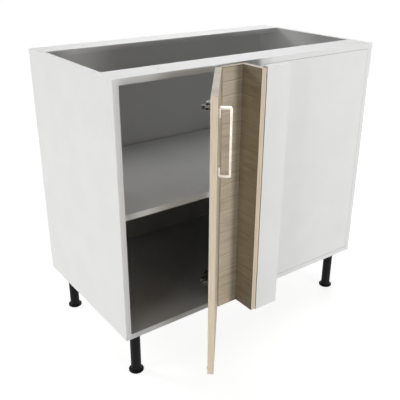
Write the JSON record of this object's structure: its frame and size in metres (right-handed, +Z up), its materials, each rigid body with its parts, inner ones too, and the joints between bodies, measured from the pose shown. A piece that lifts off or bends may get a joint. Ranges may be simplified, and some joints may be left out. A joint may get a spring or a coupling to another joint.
{
  "type": "corner base cabinet",
  "caption": "Corner base cabinet on adjustable legs, with one hinged door, a shelf, a fixed front panel and an angled wood filler with a post board.",
  "frame": {"origin": "under the middle of the whole outline with the door at rest, on the floor", "axes": "+Z up; +Y from the open front to the back sheet; +X along the width, from the door towards the fixed front panel"},
  "size_m": [0.9, 0.7512, 0.87],
  "materials": {
    "white_board": "white melamine, matt",
    "back_sheet": "white hardboard",
    "wood_front": "light wood decor, grain across",
    "hinge_steel": "nickel-plated pressed steel",
    "fixing_steel": "zinc-plated",
    "bracket_steel": "galvanised",
    "handle_metal": "satin",
    "black_plastic": "moulded, satin",
    "soft_pads": "soft, matt",
    "dowel_beech": "fluted beech"
  },
  "bodies": {
    "carcass": {"side_panel_left": "white_board", "side_panel_right": "white_board", "bottom_panel": "white_board", "front_rail": "white_board", "back_rail": "white_board", "fixed_front_panel": "white_board", "shelf": "white_board", "corner_post_board": "white_board", "corner_filler": "wood_front", "corner_return": "wood_front", "hinge_plates": "hinge_steel", "hinge_arms": "hinge_steel", "shelf_pins": "fixing_steel", "cam_locks": "fixing_steel", "cam_bolts": "fixing_steel", "filler_screws": "fixing_steel", "return_screws": "fixing_steel", "bracket_screws": "fixing_steel", "hinge_plate_screws": "fixing_steel", "hinge_arm_screws": "fixing_steel", "hinge_arm_pins": "fixing_steel", "leg_screws": "fixing_steel", "leg_sockets": "black_plastic", "leg_tubes": "black_plastic", "back_sheet": "back_sheet", "corner_brackets": "bracket_steel", "filler_spacers": "soft_pads", "wood_dowels": "dowel_beech"},
    "door": {"door": "wood_front", "door_buffers": "soft_pads", "handle": "handle_metal", "handle_screws": "fixing_steel", "hinge_cups": "hinge_steel", "hinge_cup_pins": "fixing_steel", "hinge_cup_screws": "fixing_steel"},
    "hinge_main_links": {"hinge_main_links": "hinge_steel"},
    "hinge_arm_struts": {"hinge_arm_struts": "hinge_steel"},
    "hinge_cross_links": {"hinge_cross_links": "hinge_steel"},
    "hinge_cup_struts": {"hinge_cup_struts": "hinge_steel"},
    "foot_front_left": {"foot_front_left": "black_plastic"},
    "foot_front_right": {"foot_front_right": "black_plastic"},
    "foot_back_left": {"foot_back_left": "black_plastic"},
    "foot_back_right": {"foot_back_right": "black_plastic"}
  },
  "joints": [
    {"name": "door_swing", "type": "hinge", "parent": "carcass", "child": "door", "pos_m": [-0.1505, -0.14517, 0.51], "axis": [0, 0, 1], "range_deg": [-50.6, 44.4]},
    {"name": "main_link_turn", "type": "hinge", "parent": "carcass", "child": "hinge_main_links", "pos_m": [-0.166, -0.12417, 0.51], "axis": [0, 0, 1], "range_deg": [-52, 46]},
    {"name": "arm_strut_turn", "type": "hinge", "parent": "carcass", "child": "hinge_arm_struts", "pos_m": [-0.17049, -0.11261, 0.51], "axis": [0, 0, 1], "range_deg": [-52, 46]},
    {"name": "cross_link_turn", "type": "hinge", "parent": "door", "child": "hinge_cross_links", "pos_m": [-0.17438, -0.15597, 0.51], "axis": [0, 0, 1], "range_deg": [-46, 52]},
    {"name": "cup_strut_turn", "type": "hinge", "parent": "door", "child": "hinge_cup_struts", "pos_m": [-0.18132, -0.16169, 0.51], "axis": [0, 0, 1], "range_deg": [-46, 52]},
    {"name": "foot_front_left_adjust", "type": "slide", "parent": "carcass", "child": "foot_front_left", "axis": [0, 0, -1], "range_m": [0, 0.02]},
    {"name": "foot_front_right_adjust", "type": "slide", "parent": "carcass", "child": "foot_front_right", "axis": [0, 0, -1], "range_m": [0, 0.02]},
    {"name": "foot_back_left_adjust", "type": "slide", "parent": "carcass", "child": "foot_back_left", "axis": [0, 0, -1], "range_m": [0, 0.02]},
    {"name": "foot_back_right_adjust", "type": "slide", "parent": "carcass", "child": "foot_back_right", "axis": [0, 0, -1], "range_m": [0, 0.02]}
  ],
  "couplings": [
    {"joint": "main_link_turn", "follows": "door_swing", "ratio": 1},
    {"joint": "arm_strut_turn", "follows": "door_swing", "ratio": 1},
    {"joint": "cross_link_turn", "follows": "door_swing", "ratio": -1},
    {"joint": "cup_strut_turn", "follows": "door_swing", "ratio": -1}
  ]
}
